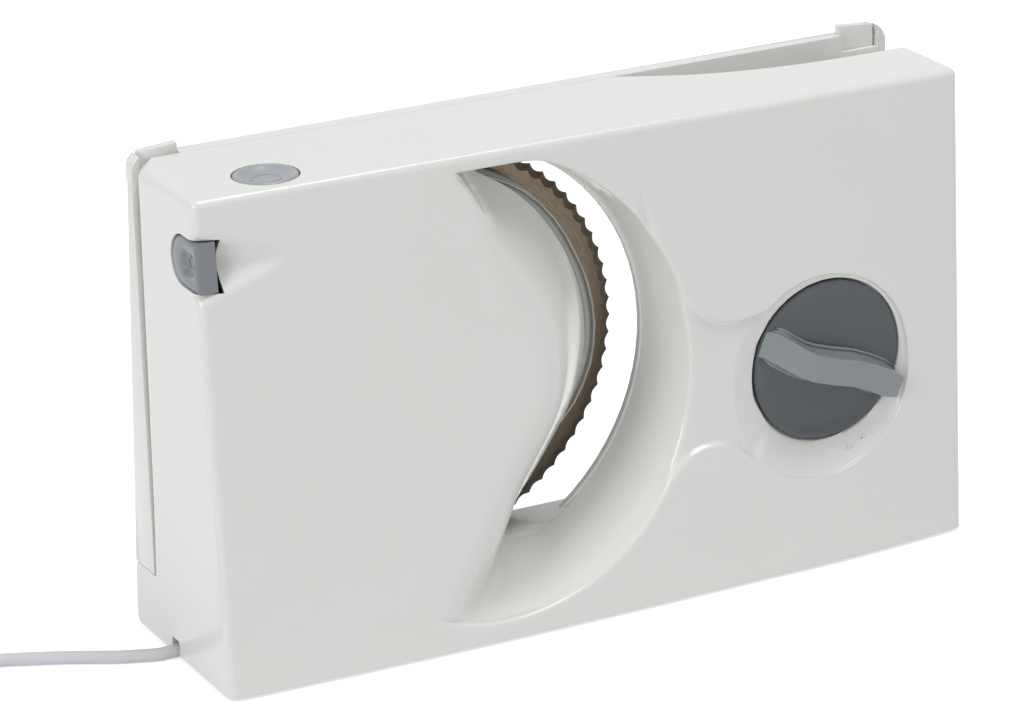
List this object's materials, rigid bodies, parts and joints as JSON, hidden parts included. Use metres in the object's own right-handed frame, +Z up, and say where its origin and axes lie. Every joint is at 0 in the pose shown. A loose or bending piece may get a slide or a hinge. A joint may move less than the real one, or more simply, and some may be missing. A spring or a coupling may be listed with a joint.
{
  "type": "food_slicer",
  "caption": "Compact folding electric food slicer in white plastic, table folded up behind the toothed blade, crescent slice exit, round thickness knob and mains cord",
  "frame": {"origin": "Middle of the slicer's own box, without the cord, on the surface that it stands on", "axes": "+X runs from the on/off button's end to the knob's end, +Y from the slice exit to the folded table, +Z up"},
  "size_m": [0.5791, 0.0998, 0.1968],
  "materials": {
    "white_plastic": "glossy white moulded plastic",
    "dark_grey_plastic": "smooth dark grey plastic",
    "light_grey_plastic": "smooth light grey plastic",
    "blade_steel": "ground stainless steel",
    "steel": "bright steel",
    "copper": "enamelled copper wire",
    "brass": "plain brass",
    "nylon": "natural nylon",
    "circuit_board": "paper circuit board",
    "rubber": "black rubber",
    "cord_white": "white cord jacket"
  },
  "bodies": {
    "housing": {"front_housing": "white_plastic", "chassis_plate": "white_plastic", "base_plate": "white_plastic", "motor_bracket_left": "white_plastic", "motor_bracket_right": "white_plastic", "microswitch": "dark_grey_plastic", "capacitor": "dark_grey_plastic", "circuit_board": "circuit_board", "cord_grip": "dark_grey_plastic", "wheel_spindle": "steel", "guide_rod_1": "steel", "guide_rod_2": "steel", "hinge_pin_left": "steel", "hinge_pin_right": "steel", "base_screw_1": "steel", "base_screw_2": "steel", "base_screw_3": "steel", "chassis_screw_1": "steel", "chassis_screw_2": "steel", "chassis_screw_3": "steel", "motor_stator": "steel", "stator_winding_left": "copper", "stator_winding_right": "copper", "brush_holder_1": "brass", "brush_holder_2": "brass", "worm_end_bearing": "brass", "safety_spring": "steel", "foot_front_left": "rubber", "foot_front_right": "rubber", "foot_rear_left": "rubber", "foot_rear_right": "rubber", "cord_stretch": "cord_white", "cord_coil": "cord_white", "cord_tail": "cord_white", "plug_body": "cord_white", "plug_pin_front": "brass", "plug_pin_back": "brass"},
    "rotor": {"motor_shaft": "steel", "armature_core": "steel", "commutator": "copper", "cooling_fan": "nylon", "worm": "steel"},
    "blade_wheel": {"blade": "blade_steel", "worm_wheel": "nylon", "wheel_bush": "brass"},
    "lock_cap": {"blade_lock_cap": "dark_grey_plastic"},
    "knob": {"thickness_knob": "dark_grey_plastic", "knob_retainer": "steel"},
    "stop": {"stop_plate": "white_plastic"},
    "power_button": {"on_off_button": "light_grey_plastic"},
    "safety": {"safety_button": "light_grey_plastic"},
    "table": {"table_frame": "white_plastic"},
    "leg_left": {"support_leg_left": "white_plastic"},
    "leg_right": {"support_leg_right": "white_plastic"},
    "carrier": {"carriage": "white_plastic"},
    "pusher": {"pusher_slide": "light_grey_plastic"},
    "pusher_flap": {"pusher_plate": "light_grey_plastic"}
  },
  "joints": [
    {"name": "motor_spin", "type": "hinge", "parent": "housing", "child": "rotor", "pos_m": [-0.156, -0.0151, 0.0495], "axis": [1, 0, 0], "continuous": true},
    {"name": "blade_spin", "type": "hinge", "parent": "housing", "child": "blade_wheel", "pos_m": [-0.0578, 0.0145, 0.1032], "axis": [0, 1, 0], "continuous": true},
    {"name": "lock_turn", "type": "hinge", "parent": "blade_wheel", "child": "lock_cap", "pos_m": [-0.0578, 0.0145, 0.1032], "axis": [0, 1, 0], "range_deg": [0, 90]},
    {"name": "thickness_turn", "type": "hinge", "parent": "housing", "child": "knob", "pos_m": [0.1027, -0.0271, 0.0839], "axis": [0, 1, 0], "range_deg": [0, 270]},
    {"name": "stop_travel", "type": "slide", "parent": "housing", "child": "stop", "axis": [0, 1, 0], "range_m": [0, 0.015]},
    {"name": "power_press", "type": "slide", "parent": "housing", "child": "power_button", "axis": [1, 0, 0], "range_m": [0, 0.0022], "stiffness_N_per_m": 600, "springref_m": -0.001},
    {"name": "safety_press", "type": "slide", "parent": "housing", "child": "safety", "axis": [0, 0, -1], "range_m": [0, 0.003], "stiffness_N_per_m": 500, "springref_m": -0.001, "deforming": ["safety_spring"]},
    {"name": "table_fold", "type": "hinge", "parent": "housing", "child": "table", "pos_m": [0, 0.0404, 0.0237], "axis": [-1, 0, 0], "range_deg": [0, 90]},
    {"name": "leg_left_fold", "type": "hinge", "parent": "table", "child": "leg_left", "pos_m": [-0.156, 0.04125, 0.1915], "axis": [1, 0, 0], "range_deg": [0, 90]},
    {"name": "leg_right_fold", "type": "hinge", "parent": "table", "child": "leg_right", "pos_m": [0.156, 0.04125, 0.1915], "axis": [1, 0, 0], "range_deg": [0, 90]},
    {"name": "carriage_travel", "type": "slide", "parent": "table", "child": "carrier", "axis": [1, 0, 0], "range_m": [0, 0.17]},
    {"name": "pusher_travel", "type": "slide", "parent": "carrier", "child": "pusher", "axis": [0, 0, -1], "range_m": [0, 0.07]},
    {"name": "pusher_fold", "type": "hinge", "parent": "pusher", "child": "pusher_flap", "pos_m": [-0.1, 0.0274, 0.1665], "axis": [-1, 0, 0], "range_deg": [0, 90]}
  ],
  "couplings": [
    {"joint": "blade_spin", "follows": "motor_spin", "ratio": -0.013889},
    {"joint": "thickness_turn", "follows": "stop_travel", "rad_per_m": 314.16},
    {"joint": "pusher_fold", "follows": "table_fold", "ratio": 1}
  ]
}
